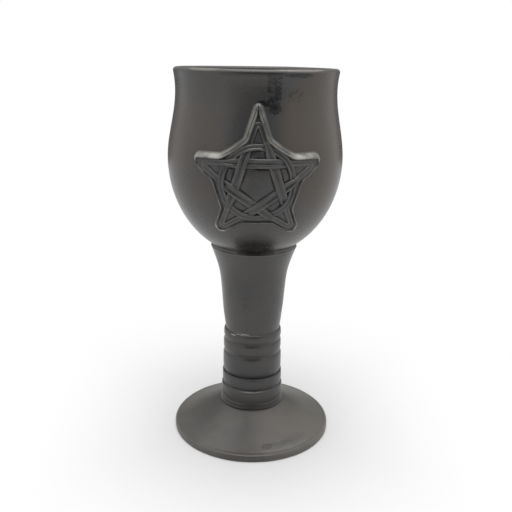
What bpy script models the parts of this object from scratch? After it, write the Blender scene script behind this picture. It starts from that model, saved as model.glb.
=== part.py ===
# Ceramic chalice: a tulip bowl luted to a hollow stem and a spread foot, with an
# interlaced five-pointed star laid on the bowl's front in strips of clay.
# Sizes are in metres and +Z is up. The foot rests on z = 0, round the Z axis,
# and the star faces -Y.

import math
from bisect import bisect_right

import bmesh
import bpy
from mathutils import Vector
from mathutils.geometry import interpolate_bezier

# Fits between pieces
CLEARANCE = 0.0003
SLIP_THICKNESS = 0.0010

# Foot
FOOT_RADIUS = 0.0393
FOOT_HEIGHT = 0.0145
FOOT_EDGE_HEIGHT = 0.0036
FOOT_EDGE_ROUND = 0.0016
FOOT_SOLE_ROUND = 0.0007
FOOT_RING_WIDTH = 0.0045
FOOT_RECESS_SLOPE = 0.0018
FOOT_HUB_WALL = 0.0048
FOOT_HUB_LIP = 0.0012
FOOT_HUB_SHOULDER = 0.0024
FOOT_SAG = 0.0004

# Stem
STEM_LENGTH = 0.0805
STEM_BASE_RADIUS = 0.0160
BORE_RADIUS = 0.0080
NECK_RADIUS = 0.0135
SEAM_RADIUS = 0.02075
SEAM_LAND = 0.0009
SEAM_ROUND = 0.0007
COLUMN_SWELL = 0.0035
COLUMN_FLARE = 0.0065
COLUMN_HANDLE = 0.62
GROOVE_DEPTH = 0.0006
GROOVE_WIDTH = 0.0012
BAND_SWELL = 0.0001
# Turned bands from the base up: height and radius of each
BANDS = (
    (0.0028, 0.0158),
    (0.0066, 0.0153),
    (0.0068, 0.0149),
    (0.0112, 0.0146),
    (0.0062, 0.0143),
    (0.0060, 0.0142),
)

# Bowl
BELLY_RADIUS = 0.0406
BELLY_DEPTH = 0.0465
WAIST_RADIUS = 0.0367
WAIST_RISE = 0.0308
LIP_RADIUS = 0.0375
LIP_RISE = 0.00815
LIP_THICKNESS = 0.0032
BOWL_WALL = 0.0042
WAIST_WALL = 0.0036
BOWL_FLOOR = 0.0060
SEAT_INNER_RADIUS = 0.0105

# Star, in the flat before it is laid round the bowl
STAR_DROP = 0.0054
STRAND_APOTHEM = 0.0083
STRAND_WIDTH = 0.0034
STRAND_TIP_WIDTH = 0.0022
STRAND_THICKNESS = 0.0008
STRIP_RIDGE_INSET = 0.0007
STRIP_EDGE_DROP = 0.0004
STRIP_GROOVE_DEPTH = 0.0003
TIP_TURN_ROOM = 0.0003
WEAVE_RAMP = 0.0014
RING_WIDTH = 0.0022
RING_TO_BORDER = 0.0007
BORDER_WIDTH = 0.0023
BORDER_THICKNESS = 0.0018
BORDER_RIDGE_INSET = 0.0007
BORDER_EDGE_DROP = 0.0011
BORDER_BEND_RADIUS = 0.0040
# Floor left between the strand's tip and the border in each arm, clockwise from the top one
ARM_TIP_FLOORS = (0.0046, 0.0029, 0.0015, 0.0015, 0.0029)

# Facets
TURN_STEPS = 48
STEM_STEPS = 40
BELLY_STEPS = 9
WAIST_STEPS = 6
FLARE_STEPS = 3
LIP_STEPS = 6
COLUMN_STEPS = 9
SEAT_STEPS = 4
SLOPE_STEPS = 4
EDGE_STEPS = 3
MERIDIAN_STEPS = 60
FLAT_STEPS = 2
RAMP_STEPS = 3
TIP_STEPS = 6
BEND_STEPS = 3
BORDER_STRIDE = 0.0028
MERGE_DISTANCE = 0.000001
SHARP_ANGLE = math.radians(38.0)

# Places worked out from the sizes
JOINT_GAP = SLIP_THICKNESS + 2.0 * CLEARANCE
STEM_LIP = FOOT_HEIGHT + STEM_LENGTH
SLIP_CHANNEL_INNER = BORE_RADIUS + FOOT_HUB_LIP
SLIP_CHANNEL_OUTER = STEM_BASE_RADIUS - FOOT_HUB_SHOULDER
STAR_ARMS = len(ARM_TIP_FLOORS)
ARM_ANGLE = 2.0 * math.pi / STAR_ARMS
POINT_HALF_ANGLE = ARM_ANGLE / 4.0


def belly_point(angle, centre, offset=0.0):
    """Return a point of the bowl's lower half, pushed out by offset; angle 0 is the lowest point."""
    across = math.sin(angle) / BELLY_RADIUS
    down = math.cos(angle) / BELLY_DEPTH
    length = math.hypot(across, down)
    radius = BELLY_RADIUS * math.sin(angle) + offset * across / length
    height = centre - BELLY_DEPTH * math.cos(angle) - offset * down / length
    return radius, height


def belly_angle(radius, offset=0.0):
    """Return the angle at which the pushed-out lower half reaches a radius."""
    low = 0.0
    high = math.pi / 2.0
    for _ in range(50):
        middle = (low + high) / 2.0
        if belly_point(middle, 0.0, offset)[0] < radius:
            low = middle
        else:
            high = middle
    return (low + high) / 2.0


# The bowl sinks into the stem's mouth until the joint gap is left all round
SEAT_OUTER_ANGLE = belly_angle(SEAM_RADIUS - SEAM_LAND, JOINT_GAP)
SEAT_INNER_ANGLE = belly_angle(SEAT_INNER_RADIUS, JOINT_GAP)
BELLY_HEIGHT = STEM_LIP - belly_point(SEAT_OUTER_ANGLE, 0.0, JOINT_GAP)[1]
WAIST_HEIGHT = BELLY_HEIGHT + WAIST_RISE
LIP_ROUND = LIP_THICKNESS / 2.0
LIP_HEIGHT = WAIST_HEIGHT + LIP_RISE
STAR_HEIGHT = BELLY_HEIGHT - STAR_DROP


def ease(share):
    """Return a smooth step from 0 to 1."""
    return share * share * (3.0 - 2.0 * share)


def bowl_wall(belly, depth, waist, lip, belly_steps, waist_steps, flare_steps):
    """Return one side of the bowl's wall: up from the axis, in to the waist and out to the lip."""
    points = []
    for step in range(belly_steps + 1):
        angle = math.pi / 2.0 * step / belly_steps
        points.append((belly * math.sin(angle), BELLY_HEIGHT - depth * math.cos(angle)))
    for step in range(1, waist_steps + 1):
        share = step / waist_steps
        radius = belly + (waist - belly) * ease(share)
        points.append((radius, BELLY_HEIGHT + WAIST_RISE * share))
    for step in range(1, flare_steps + 1):
        share = step / flare_steps
        radius = waist + (lip - waist) * share * share
        points.append((radius, WAIST_HEIGHT + LIP_RISE * share))
    return points


def arc(centre, radius, start, end, steps):
    """Return points round a centre from one angle to another."""
    points = []
    for step in range(steps + 1):
        angle = start + (end - start) * step / steps
        points.append((centre[0] + radius * math.cos(angle), centre[1] + radius * math.sin(angle)))
    return points


def bowl_outline():
    """Return the bowl's outline from the axis underneath, over the lip, to the axis inside."""
    outer = (BELLY_RADIUS, BELLY_DEPTH, WAIST_RADIUS, LIP_RADIUS)
    inner = (
        BELLY_RADIUS - BOWL_WALL,
        BELLY_DEPTH - BOWL_FLOOR,
        WAIST_RADIUS - WAIST_WALL,
        LIP_RADIUS - LIP_THICKNESS,
    )
    points = bowl_wall(*outer, BELLY_STEPS, WAIST_STEPS, FLARE_STEPS)
    lip = arc((LIP_RADIUS - LIP_ROUND, LIP_HEIGHT), LIP_ROUND, 0.0, math.pi, LIP_STEPS)
    points += lip[1:-1]
    points += reversed(bowl_wall(*inner, BELLY_STEPS, WAIST_STEPS, FLARE_STEPS))
    return points


def seat_line(offset):
    """Return the joint's line under the bowl, from inside to outside."""
    points = []
    for step in range(SEAT_STEPS + 1):
        angle = SEAT_INNER_ANGLE + (SEAT_OUTER_ANGLE - SEAT_INNER_ANGLE) * step / SEAT_STEPS
        points.append(belly_point(angle, BELLY_HEIGHT, offset))
    return points


def banded_base():
    """Return the stem's turned bands from the base up, each swelling between two grooves."""
    points = [(STEM_BASE_RADIUS, FOOT_HEIGHT)]
    height = FOOT_HEIGHT
    for band_height, band_radius in BANDS:
        shoulder = GROOVE_WIDTH / 2.0
        points.append((band_radius, height + shoulder))
        points.append((band_radius + BAND_SWELL, height + band_height / 2.0))
        points.append((band_radius, height + band_height - shoulder))
        height += band_height
        points.append((band_radius - GROOVE_DEPTH, height))
    points[-1] = (NECK_RADIUS, height)
    return points


def column(start):
    """Return the stem's column from its neck to the flared mouth, without its first point."""
    end = (SEAM_RADIUS, STEM_LIP - SEAM_ROUND)
    reach = COLUMN_HANDLE * (end[1] - start[1])
    knots = (
        Vector((start[0], start[1])),
        Vector((start[0] + COLUMN_SWELL, start[1] + reach)),
        Vector((end[0] - COLUMN_FLARE, end[1] - reach * COLUMN_HANDLE)),
        Vector((end[0], end[1])),
    )
    return [(point.x, point.y) for point in interpolate_bezier(*knots, COLUMN_STEPS + 1)][1:]


def stem_outline():
    """Return the stem's closed outline: bands, column, mouth, seat and bore."""
    points = banded_base()
    points += column(points[-1])
    mouth = (SEAM_RADIUS - SEAM_ROUND, STEM_LIP - SEAM_ROUND)
    points += arc(mouth, SEAM_ROUND, 0.0, math.pi / 2.0, EDGE_STEPS)[1:]
    points += reversed(seat_line(JOINT_GAP))
    points.append((BORE_RADIUS, points[-1][1] - (SEAT_INNER_RADIUS - BORE_RADIUS)))
    points.append((BORE_RADIUS, FOOT_HEIGHT))
    return points


def foot_outline():
    """Return the foot's closed outline: hub, slope, edge, resting ring, recess and vent."""
    hub = FOOT_HEIGHT - CLEARANCE
    channel = FOOT_HEIGHT - JOINT_GAP
    points = [
        (BORE_RADIUS, hub),
        (SLIP_CHANNEL_INNER, hub),
        (SLIP_CHANNEL_INNER, channel),
        (SLIP_CHANNEL_OUTER, channel),
        (SLIP_CHANNEL_OUTER, hub),
    ]
    edge = FOOT_RADIUS - FOOT_EDGE_ROUND
    for step in range(SLOPE_STEPS):
        share = step / SLOPE_STEPS
        radius = STEM_BASE_RADIUS + (edge - STEM_BASE_RADIUS) * share
        sag = FOOT_SAG * 4.0 * share * (1.0 - share)
        points.append((radius, hub + (FOOT_EDGE_HEIGHT - hub) * share - sag))
    upper = (edge, FOOT_EDGE_HEIGHT - FOOT_EDGE_ROUND)
    points += arc(upper, FOOT_EDGE_ROUND, math.pi / 2.0, 0.0, EDGE_STEPS)
    points.append((FOOT_RADIUS, FOOT_SOLE_ROUND))
    points.append((FOOT_RADIUS - FOOT_SOLE_ROUND, 0.0))
    ring_inner = FOOT_RADIUS - FOOT_SOLE_ROUND - FOOT_RING_WIDTH
    recess = ring_inner - FOOT_RECESS_SLOPE
    points.append((ring_inner, 0.0))
    points.append((recess, FOOT_RECESS_SLOPE))
    points.append((SLIP_CHANNEL_OUTER, channel - FOOT_HUB_WALL))
    points.append((BORE_RADIUS, channel - FOOT_HUB_WALL))
    return points


def bowl_slip_outline():
    """Return the closed outline of the slip ring under the bowl."""
    return seat_line(CLEARANCE) + list(reversed(seat_line(CLEARANCE + SLIP_THICKNESS)))


def foot_slip_outline():
    """Return the closed outline of the slip ring in the foot's channel."""
    low = FOOT_HEIGHT - CLEARANCE - SLIP_THICKNESS
    high = FOOT_HEIGHT - CLEARANCE
    inner = SLIP_CHANNEL_INNER + CLEARANCE
    outer = SLIP_CHANNEL_OUTER - CLEARANCE
    return [(inner, low), (outer, low), (outer, high), (inner, high)]


def meridian():
    """Return the bowl's outer line as running lengths and points, for laying strips on it."""
    outer = (BELLY_RADIUS, BELLY_DEPTH, WAIST_RADIUS, LIP_RADIUS)
    line = bowl_wall(*outer, MERIDIAN_STEPS, MERIDIAN_STEPS, MERIDIAN_STEPS)
    lengths = [0.0]
    for (radius, height), (next_radius, next_height) in zip(line, line[1:]):
        lengths.append(lengths[-1] + math.hypot(next_radius - radius, next_height - height))
    return lengths, line


MERIDIAN_LENGTHS, MERIDIAN_LINE = meridian()
STAR_ORIGIN = next(
    length
    for length, point in zip(MERIDIAN_LENGTHS, MERIDIAN_LINE)
    if point[1] >= STAR_HEIGHT
)


def on_bowl(across, up, proud):
    """Lay a point of the flat star on the bowl, standing proud of it by the given height."""
    length = STAR_ORIGIN + up
    index = bisect_right(MERIDIAN_LENGTHS, length) - 1
    radius, height = MERIDIAN_LINE[index]
    next_radius, next_height = MERIDIAN_LINE[index + 1]
    stretch = MERIDIAN_LENGTHS[index + 1] - MERIDIAN_LENGTHS[index]
    share = (length - MERIDIAN_LENGTHS[index]) / stretch
    out = (next_height - height) / stretch
    lift = (radius - next_radius) / stretch
    radius += (next_radius - radius) * share
    height += (next_height - height) * share
    turn = across / radius
    reach = radius + proud * out
    return Vector((reach * math.sin(turn), -reach * math.cos(turn), height + proud * lift))


def crossing_half(other_width, own_width, angle):
    """Return half the length of a strip that lies over or under another one."""
    return (other_width / math.sin(angle) + own_width / math.tan(angle)) / 2.0 + CLEARANCE / 2.0


def weave():
    """Return where the strand meets itself and the ring, from its middle, and the ring's radius."""
    self_at = STRAND_APOTHEM * math.tan(ARM_ANGLE / 2.0)
    self_half = crossing_half(STRAND_WIDTH, STRAND_WIDTH, ARM_ANGLE)
    ring_strand = (STRAND_WIDTH + STRAND_TIP_WIDTH) / 2.0
    ring_half = RING_WIDTH
    for _ in range(30):
        ring_at = self_at + self_half + WEAVE_RAMP + ring_half
        angle = math.atan2(ring_at, STRAND_APOTHEM)
        ring_half = crossing_half(RING_WIDTH, ring_strand, angle)
    along_ring = crossing_half(ring_strand, RING_WIDTH, angle)
    return self_at, self_half, ring_at, ring_half, math.hypot(ring_at, STRAND_APOTHEM), along_ring


SELF_AT, SELF_HALF, RING_AT, RING_HALF, RING_RADIUS, STRAND_HALF_ON_RING = weave()
TIP_TURN = STRAND_TIP_WIDTH / 2.0 + TIP_TURN_ROOM
TIP_CENTRE = (STRAND_APOTHEM - TIP_TURN) / math.sin(POINT_HALF_ANGLE)
STRAND_REACH = TIP_CENTRE * math.cos(POINT_HALF_ANGLE)
STRAND_TIP = TIP_CENTRE + TIP_TURN + STRAND_TIP_WIDTH / 2.0
WEAVE_LIFT = STRAND_THICKNESS + CLEARANCE


def stepped(knots):
    """Return (place, level) stations through (place, level) knots, with smooth ramps between levels."""
    stations = []
    for (place, level), (next_place, next_level) in zip(knots, knots[1:]):
        steps = FLAT_STEPS if level == next_level else RAMP_STEPS
        for step in range(steps):
            share = step / steps
            height = level + (next_level - level) * ease(share)
            stations.append((place + (next_place - place) * share, height))
    return stations


def turned_flat(across, up, angle):
    """Turn a point of the flat star clockwise about its centre."""
    cosine = math.cos(angle)
    sine = math.sin(angle)
    return across * cosine + up * sine, up * cosine - across * sine


def strand_width(place):
    """Return the strand's width at a distance from the middle of a run."""
    start = SELF_AT + SELF_HALF
    share = (abs(place) - start) / (RING_AT + RING_HALF - start)
    return STRAND_WIDTH + (STRAND_TIP_WIDTH - STRAND_WIDTH) * ease(min(1.0, max(0.0, share)))


def strand_stations():
    """Return (across, up, width, lift) along the endless strand: five runs and five tight turns."""
    knots = (
        (-STRAND_REACH, 0.0),
        (-RING_AT - RING_HALF - WEAVE_RAMP, 0.0),
        (-RING_AT - RING_HALF, WEAVE_LIFT),
        (-RING_AT + RING_HALF, WEAVE_LIFT),
        (-SELF_AT - SELF_HALF, 0.0),
        (-SELF_AT + SELF_HALF, 0.0),
        (SELF_AT - SELF_HALF, WEAVE_LIFT),
        (SELF_AT + SELF_HALF, WEAVE_LIFT),
        (RING_AT - RING_HALF, 0.0),
        (RING_AT + RING_HALF, 0.0),
        (STRAND_REACH, 0.0),
    )
    run = [(place, STRAND_APOTHEM, strand_width(place), lift) for place, lift in stepped(knots)]
    for step in range(TIP_STEPS):
        angle = math.pi / 2.0 - (math.pi - 2.0 * POINT_HALF_ANGLE) * step / TIP_STEPS
        across = STRAND_REACH + TIP_TURN * math.cos(angle)
        up = STRAND_APOTHEM - TIP_TURN + TIP_TURN * math.sin(angle)
        run.append((across, up, STRAND_TIP_WIDTH, 0.0))
    stations = []
    for arm in range(STAR_ARMS):
        for across, up, width, lift in run:
            across, up = turned_flat(across, up, 2.0 * ARM_ANGLE * arm)
            stations.append((across, up, width, lift))
    return stations


def ring_stations():
    """Return (across, up, width, lift) round the ring, which dives under every second crossing."""
    over = math.atan2(STRAND_APOTHEM, RING_AT)
    under = math.pi - over - 2.0 * ARM_ANGLE
    half = STRAND_HALF_ON_RING / RING_RADIUS
    stations = []
    for arm in range(STAR_ARMS):
        knots = (
            (under - half, 0.0),
            (under + half, 0.0),
            (over - half, WEAVE_LIFT),
            (over + half, WEAVE_LIFT),
            (under - half + ARM_ANGLE, 0.0),
        )
        for angle, lift in stepped(knots):
            angle += arm * ARM_ANGLE
            across = RING_RADIUS * math.cos(angle)
            stations.append((across, RING_RADIUS * math.sin(angle), RING_WIDTH, lift))
    return stations


def rounded(corners, radii, steps):
    """Return a closed outline through corners, each rounded to its own radius in its own steps."""
    points = []
    for index, corner in enumerate(corners):
        back = (corners[index - 1] - corner).normalized()
        ahead = (corners[(index + 1) % len(corners)] - corner).normalized()
        half = back.angle(ahead) / 2.0
        centre = corner + (back + ahead).normalized() * radii[index] / math.sin(half)
        start = corner + back * radii[index] / math.tan(half) - centre
        end = corner + ahead * radii[index] / math.tan(half) - centre
        for step in range(steps[index] + 1):
            share = step / steps[index]
            spoke = start.slerp(end, share).normalized() * radii[index]
            points.append(centre + spoke)
    return points


def border_stations():
    """Return (across, up, width, lift) round the star's border."""
    apothem = STRAND_APOTHEM + STRAND_TIP_WIDTH / 2.0 + CLEARANCE + BORDER_WIDTH / 2.0
    chord = RING_RADIUS + RING_WIDTH / 2.0 + RING_TO_BORDER + BORDER_WIDTH / 2.0
    apex = apothem / math.sin(POINT_HALF_ANGLE)
    taper = math.tan(POINT_HALF_ANGLE)
    cosine = math.cos(ARM_ANGLE / 2.0)
    sine = math.sin(ARM_ANGLE / 2.0)
    bend = (chord - apex * taper * sine) / (cosine - taper * sine)
    bend_half = (apex - bend) * taper
    corners = []
    radii = []
    for arm, floor in enumerate(ARM_TIP_FLOORS):
        tip = STRAND_TIP + floor + BORDER_WIDTH / 2.0
        tip_radius = (apex - tip) / (1.0 / math.sin(POINT_HALF_ANGLE) - 1.0)
        radii += [BORDER_BEND_RADIUS, tip_radius, BORDER_BEND_RADIUS]
        for across, up in ((-bend_half, bend), (0.0, apex), (bend_half, bend)):
            corners.append(Vector(turned_flat(across, up, ARM_ANGLE * arm)))
    steps = (BEND_STEPS, TIP_STEPS, BEND_STEPS) * STAR_ARMS
    outline = rounded(corners, radii, steps)
    stations = []
    for point, after in zip(outline, outline[1:] + outline[:1]):
        strides = max(1, round((after - point).length / BORDER_STRIDE))
        for stride in range(strides):
            place = point.lerp(after, stride / strides)
            stations.append((place.x, place.y, BORDER_WIDTH, 0.0))
    return stations


def strip_section(width, thickness, ridge_inset, edge_drop):
    """Return a strip's section: flat below, two ridges above with a groove between them."""
    half = width / 2.0
    ridge = half - ridge_inset
    shoulder = thickness - edge_drop
    groove = thickness - STRIP_GROOVE_DEPTH
    return (
        (-half, 0.0),
        (half, 0.0),
        (half, shoulder),
        (ridge, thickness),
        (0.0, groove),
        (-ridge, thickness),
        (-half, shoulder),
    )


def finished(name, shape, colour, roughness):
    """Make a named object with its own material from a built shape."""
    bmesh.ops.remove_doubles(shape, verts=shape.verts, dist=MERGE_DISTANCE)
    bmesh.ops.recalc_face_normals(shape, faces=shape.faces)
    mesh = bpy.data.meshes.new(name)
    shape.to_mesh(mesh)
    shape.free()
    mesh.shade_smooth()
    mesh.set_sharp_from_angle(angle=SHARP_ANGLE)
    material = bpy.data.materials.new(name + "_clay")
    material.use_nodes = True
    shader = material.node_tree.nodes["Principled BSDF"]
    shader.inputs["Base Color"].default_value = (*colour, 1.0)
    shader.inputs["Roughness"].default_value = roughness
    shader.inputs["Metallic"].default_value = 0.0
    mesh.materials.append(material)
    piece = bpy.data.objects.new(name, mesh)
    bpy.context.scene.collection.objects.link(piece)
    return piece


def turned_piece(name, outline, steps, colour, roughness, closed=True):
    """Turn an outline of (radius, height) points about the Z axis."""
    shape = bmesh.new()
    points = [shape.verts.new((radius, 0.0, height)) for radius, height in outline]
    edges = [shape.edges.new(pair) for pair in zip(points, points[1:])]
    if closed:
        edges.append(shape.edges.new((points[-1], points[0])))
    bmesh.ops.spin(
        shape,
        geom=points + edges,
        cent=(0.0, 0.0, 0.0),
        axis=(0.0, 0.0, 1.0),
        angle=2.0 * math.pi,
        steps=steps,
    )
    return finished(name, shape, colour, roughness)


def laid_strip(name, stations, thickness, ridge_inset, edge_drop, colour, roughness):
    """Lay a closed strip on the bowl along (across, up, width, lift) stations."""
    shape = bmesh.new()
    rows = []
    count = len(stations)
    for index, (across, up, width, lift) in enumerate(stations):
        here = Vector((across, up))
        back = (here - Vector(stations[index - 1][:2])).normalized()
        ahead = (Vector(stations[(index + 1) % count][:2]) - here).normalized()
        along = (back + ahead).normalized()
        row = []
        for aside, height in strip_section(width, thickness, ridge_inset, edge_drop):
            place = here + Vector((-along.y, along.x)) * aside
            row.append(shape.verts.new(on_bowl(place.x, place.y, CLEARANCE + lift + height)))
        rows.append(row)
    for row, next_row in zip(rows, rows[1:] + rows[:1]):
        for index, corner in enumerate(row):
            shape.faces.new((row[index - 1], corner, next_row[index], next_row[index - 1]))
    return finished(name, shape, colour, roughness)


def build():
    """Make every piece of the chalice."""
    for item in list(bpy.data.objects):
        bpy.data.objects.remove(item, do_unlink=True)
    graphite = (0.055, 0.052, 0.050)
    slip = (0.040, 0.036, 0.033)
    turned_piece("bowl", bowl_outline(), TURN_STEPS, graphite, 0.38, closed=False)
    turned_piece("stem", stem_outline(), STEM_STEPS, graphite, 0.40)
    turned_piece("foot", foot_outline(), TURN_STEPS, graphite, 0.42)
    turned_piece("bowl_slip", bowl_slip_outline(), STEM_STEPS, slip, 0.70)
    turned_piece("foot_slip", foot_slip_outline(), STEM_STEPS, slip, 0.70)
    strand_sizes = (STRAND_THICKNESS, STRIP_RIDGE_INSET, STRIP_EDGE_DROP)
    border_sizes = (BORDER_THICKNESS, BORDER_RIDGE_INSET, BORDER_EDGE_DROP)
    laid_strip("star_strand", strand_stations(), *strand_sizes, graphite, 0.36)
    laid_strip("star_ring", ring_stations(), *strand_sizes, graphite, 0.36)
    laid_strip("star_border", border_stations(), *border_sizes, graphite, 0.34)


build()
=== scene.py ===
import math
from bisect import bisect_right

import bpy
from mathutils import Matrix, Vector
from mathutils.geometry import interpolate_bezier


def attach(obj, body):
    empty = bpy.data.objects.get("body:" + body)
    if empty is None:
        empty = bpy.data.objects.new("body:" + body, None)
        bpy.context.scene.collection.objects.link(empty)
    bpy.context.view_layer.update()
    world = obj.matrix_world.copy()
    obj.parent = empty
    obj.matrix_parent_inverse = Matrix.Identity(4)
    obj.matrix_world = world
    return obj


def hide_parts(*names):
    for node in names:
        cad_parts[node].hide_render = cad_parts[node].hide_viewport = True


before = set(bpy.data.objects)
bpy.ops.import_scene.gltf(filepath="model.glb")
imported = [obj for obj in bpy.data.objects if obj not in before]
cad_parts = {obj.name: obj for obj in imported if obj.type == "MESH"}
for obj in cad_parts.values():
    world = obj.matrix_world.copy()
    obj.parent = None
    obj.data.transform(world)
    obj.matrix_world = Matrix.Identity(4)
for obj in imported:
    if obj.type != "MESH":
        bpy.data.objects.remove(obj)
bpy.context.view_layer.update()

# Ceramic chalice: a thrown bowl on a turned stem and a spread foot, with an interlaced star laid on
# the bowl's front, all under one dark satin glaze. The clay's sizes are in millimetres until a mesh
# is made; those of the glaze, the light and the camera are in metres.
MM = 0.001

# Bowl
BELLY_RADIUS = 40.6
BELLY_DEPTH = 46.5
BELLY_HEIGHT = 137.45
WAIST_RADIUS = 36.7
WAIST_RISE = 30.8
LIP_RADIUS = 37.5
LIP_RISE = 8.15
LIP_THICKNESS = 3.2
BOWL_WALL = 4.2
WAIST_WALL = 3.6
BOWL_FLOOR = 6.0

# Stem
FOOT_TOP = 14.5
STEM_MOUTH = 95.9
STEM_BASE_RADIUS = 16.0
STEM_BASE_EDGE = 0.25
BORE_RADIUS = 8.0
BORE_TOP = 88.4
NECK_RADIUS = 13.5
SEAM_RADIUS = 20.75
COLUMN_SWELL = 3.5
COLUMN_FLARE = 6.5
COLUMN_HANDLE = 0.62
SEAM_BEAD = 0.45
SEAM_LINE_HEIGHT = 94.7
SEAM_LINE_HALF = 0.6
SEAM_LINE_DEPTH = 0.12
SEAT_LINE = ((19.2, 95.8), (17.6, 93.73), (15.29, 92.61), (12.92, 91.66), (10.5, 90.86))
# Turned bands from the base up: height, radius, and the depth and half width of the groove above
BANDS = (
    (2.8, 15.5, 0.12, 0.9),
    (6.6, 15.3, 0.5, 0.9),
    (6.8, 14.9, 0.85, 0.75),
    (10.8, 14.6, 0.5, 1.6),
    (6.6, 14.4, 0.5, 1.4),
    (5.2, 14.3, 0.0, 0.0),
)
# How far a band's side swells at each share of its height
BAND_SWELLS = ((0.36, 0.06), (0.5, 0.08), (0.66, 0.06))
TOP_BAND_SWELLS = ((0.4, 0.1), (0.62, 0.1), (0.8, -0.05), (0.94, -0.35))
GROOVE_SHARES = (-1.0, -0.8, -0.55, -0.3, 0.0, 0.3, 0.55, 0.8, 1.0)

# Foot
FOOT_RADIUS = 39.3
FOOT_EDGE = 3.6
FOOT_EDGE_ROUND = 1.6
FOOT_SOLE_ROUND = 0.7
FOOT_RING = 4.5
FOOT_RECESS = 1.8
FOOT_SAG = 0.4
FOOT_HUB = 14.2
FOOT_UNDERSIDE = 8.1
SLIP_CHANNEL = (9.2, 13.6, 12.9)

# Slip rings in the joints, as outlines of (radius, height)
BOWL_SLIP_UNDER_BOWL = ((20.0, 97.05), (19.0, 96.3), (15.3, 94.1), (12.9, 92.9), (10.6, 92.0))
BOWL_SLIP_ON_SEAT = ((10.5, 91.15), (12.9, 91.95), (15.29, 92.9), (17.6, 94.0), (18.9, 95.7))
BOWL_SLIP_EDGE = ((20.0, 95.78), (20.58, 95.78), (20.5, 96.0), (20.38, 96.3), (20.22, 96.65))
BOWL_SLIP = BOWL_SLIP_UNDER_BOWL + BOWL_SLIP_ON_SEAT + BOWL_SLIP_EDGE
FOOT_SLIP = ((9.5, 13.2), (13.3, 13.2), (13.3, 14.2), (9.5, 14.2))

# Star
STAR_ORIGIN = 63.617
STAR_ARMS = 5
ARM_ANGLE = 2.0 * math.pi / STAR_ARMS
POINT_HALF_ANGLE = ARM_ANGLE / 4.0
STRAND_APOTHEM = 8.3
STRAND_WIDTH = 4.0
STRAND_TIP_WIDTH = 2.5
STRAND_LOW = 1.4
STRAND_PALE = 0.35
STRAND_REACH = 21.24
STRAND_TIP = 24.83
TIP_TURN = 1.4
WEAVE_LIFT = 0.7
WEAVE_RAMP = 3.2
CROWN_HALF = 0.9
SELF_AT = 6.03
RING_AT = 12.34
RING_RADIUS = 14.87
RING_WIDTH = 2.7
BORDER_APOTHEM = 10.85
BORDER_CHORD = 17.82
BORDER_WIDTH = 2.3
BORDER_TOP = 2.1
BORDER_LOW = 1.5
BORDER_BEND_RADIUS = 4.0
BORDER_UNDERSIDE = -0.6
BORDER_UNDERSIDE_SHARES = (0.95, 0.6, 0.2)
# Floor left beyond the strand's tip in each arm, clockwise from the top one
ARM_FLOORS = (5.6, 2.9, 1.9, 1.9, 2.9)
TOP_ARM_NARROWING = 1.0
TOP_TIP_ROUND = 0.58
MEETING_SHARE = 0.85
NEAR_MIDDLE = 0.001
FIELD_LOW = 0.65
FIELD_HEIGHT = 1.15
FIELD_MIDDLE = 9.0
POOL_DEPTH = 0.4
POOL_AND_SHADE_HALF = 0.5
POOL_AND_SHADE_OFFSET = 0.2
PARTING_HALF = 0.5
PARTING_DEPTH = 0.5
PARTING_TONE = 1.4

# Zones of the star in which its clay, its glaze and its painted highlights and shade change: where
# each one starts, and its width
TOP_ARM = (9.0, 6.0)
SIDE_ARMS = (11.0, 6.0)
SHOULDERS_UP = (-2.0, 9.0)
SHOULDERS_FACING = (-0.1, 0.5)
LOW_TIPS_OUT = (21.0, 4.0)
LOW_TIPS_DOWN = (0.0, 8.0)
LOW_TIPS_FACING = (0.3, 0.5)
SIDE_TIPS_OUT = (18.0, 4.0)
SIDE_TIPS_UP = (-2.0, 4.0)
FIELD_RIM = (15.0, 6.0)
PARTING_UP = (20.0, 2.0)
CALM_DOWN = (-2.0, 16.0)
CALM_OUT = (13.0, 5.0)
CALM_UP = (-6.0, 4.0)

# How unevenly the hand presses each thrown piece: the size and the depth of the presses in metres
BOWL_PRESSES = (0.022, 0.00022)
STEM_PRESSES = (0.012, 0.00018)
FOOT_PRESSES = (0.018, 0.00018)

# How fine the pieces are
TURN_STEPS = 160
OUTER_WALL_STEPS = (48, 28, 10)
INNER_WALL_STEPS = (32, 20, 8)
MERIDIAN_STEPS = (60, 60, 60)
LIP_STEPS = 14
COLUMN_STEPS = 130
BEAD_STEPS = 6
SLOPE_STEPS = 22
EDGE_STEPS = 8
SOLE_STEPS = 5
STATION_STRIDE = 0.4
TIP_STEPS = 14
CORNER_STEPS = 10
FIELD_STEPS = 60
START_SIZE = 0.001
MERGE_DISTANCE = 0.000002
SMOOTH_ANGLE = math.radians(40.0)


def ease(share):
    """Return a smooth step from 0 to 1."""
    share = min(1.0, max(0.0, share))
    return share * share * (3.0 - 2.0 * share)


def past(value, zone):
    """Return how far a value is through a zone, as a smooth step."""
    start, width = zone
    return ease((value - start) / width)


def bowl_wall(belly, depth, waist, lip, steps):
    """Return one side of the bowl's wall: up from the axis, in to the waist and out to the lip."""
    belly_steps, waist_steps, flare_steps = steps
    points = []
    for step in range(belly_steps + 1):
        angle = math.pi / 2.0 * step / belly_steps
        points.append((belly * math.sin(angle), BELLY_HEIGHT - depth * math.cos(angle)))
    for step in range(1, waist_steps + 1):
        share = step / waist_steps
        points.append((belly + (waist - belly) * ease(share), BELLY_HEIGHT + WAIST_RISE * share))
    for step in range(1, flare_steps + 1):
        share = step / flare_steps
        height = BELLY_HEIGHT + WAIST_RISE + LIP_RISE * share
        points.append((waist + (lip - waist) * share * share, height))
    return points


def arc(centre, radius, start, end, steps):
    """Return points round a centre from one angle to another."""
    points = []
    for step in range(steps + 1):
        angle = start + (end - start) * step / steps
        points.append((centre[0] + radius * math.cos(angle), centre[1] + radius * math.sin(angle)))
    return points


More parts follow.
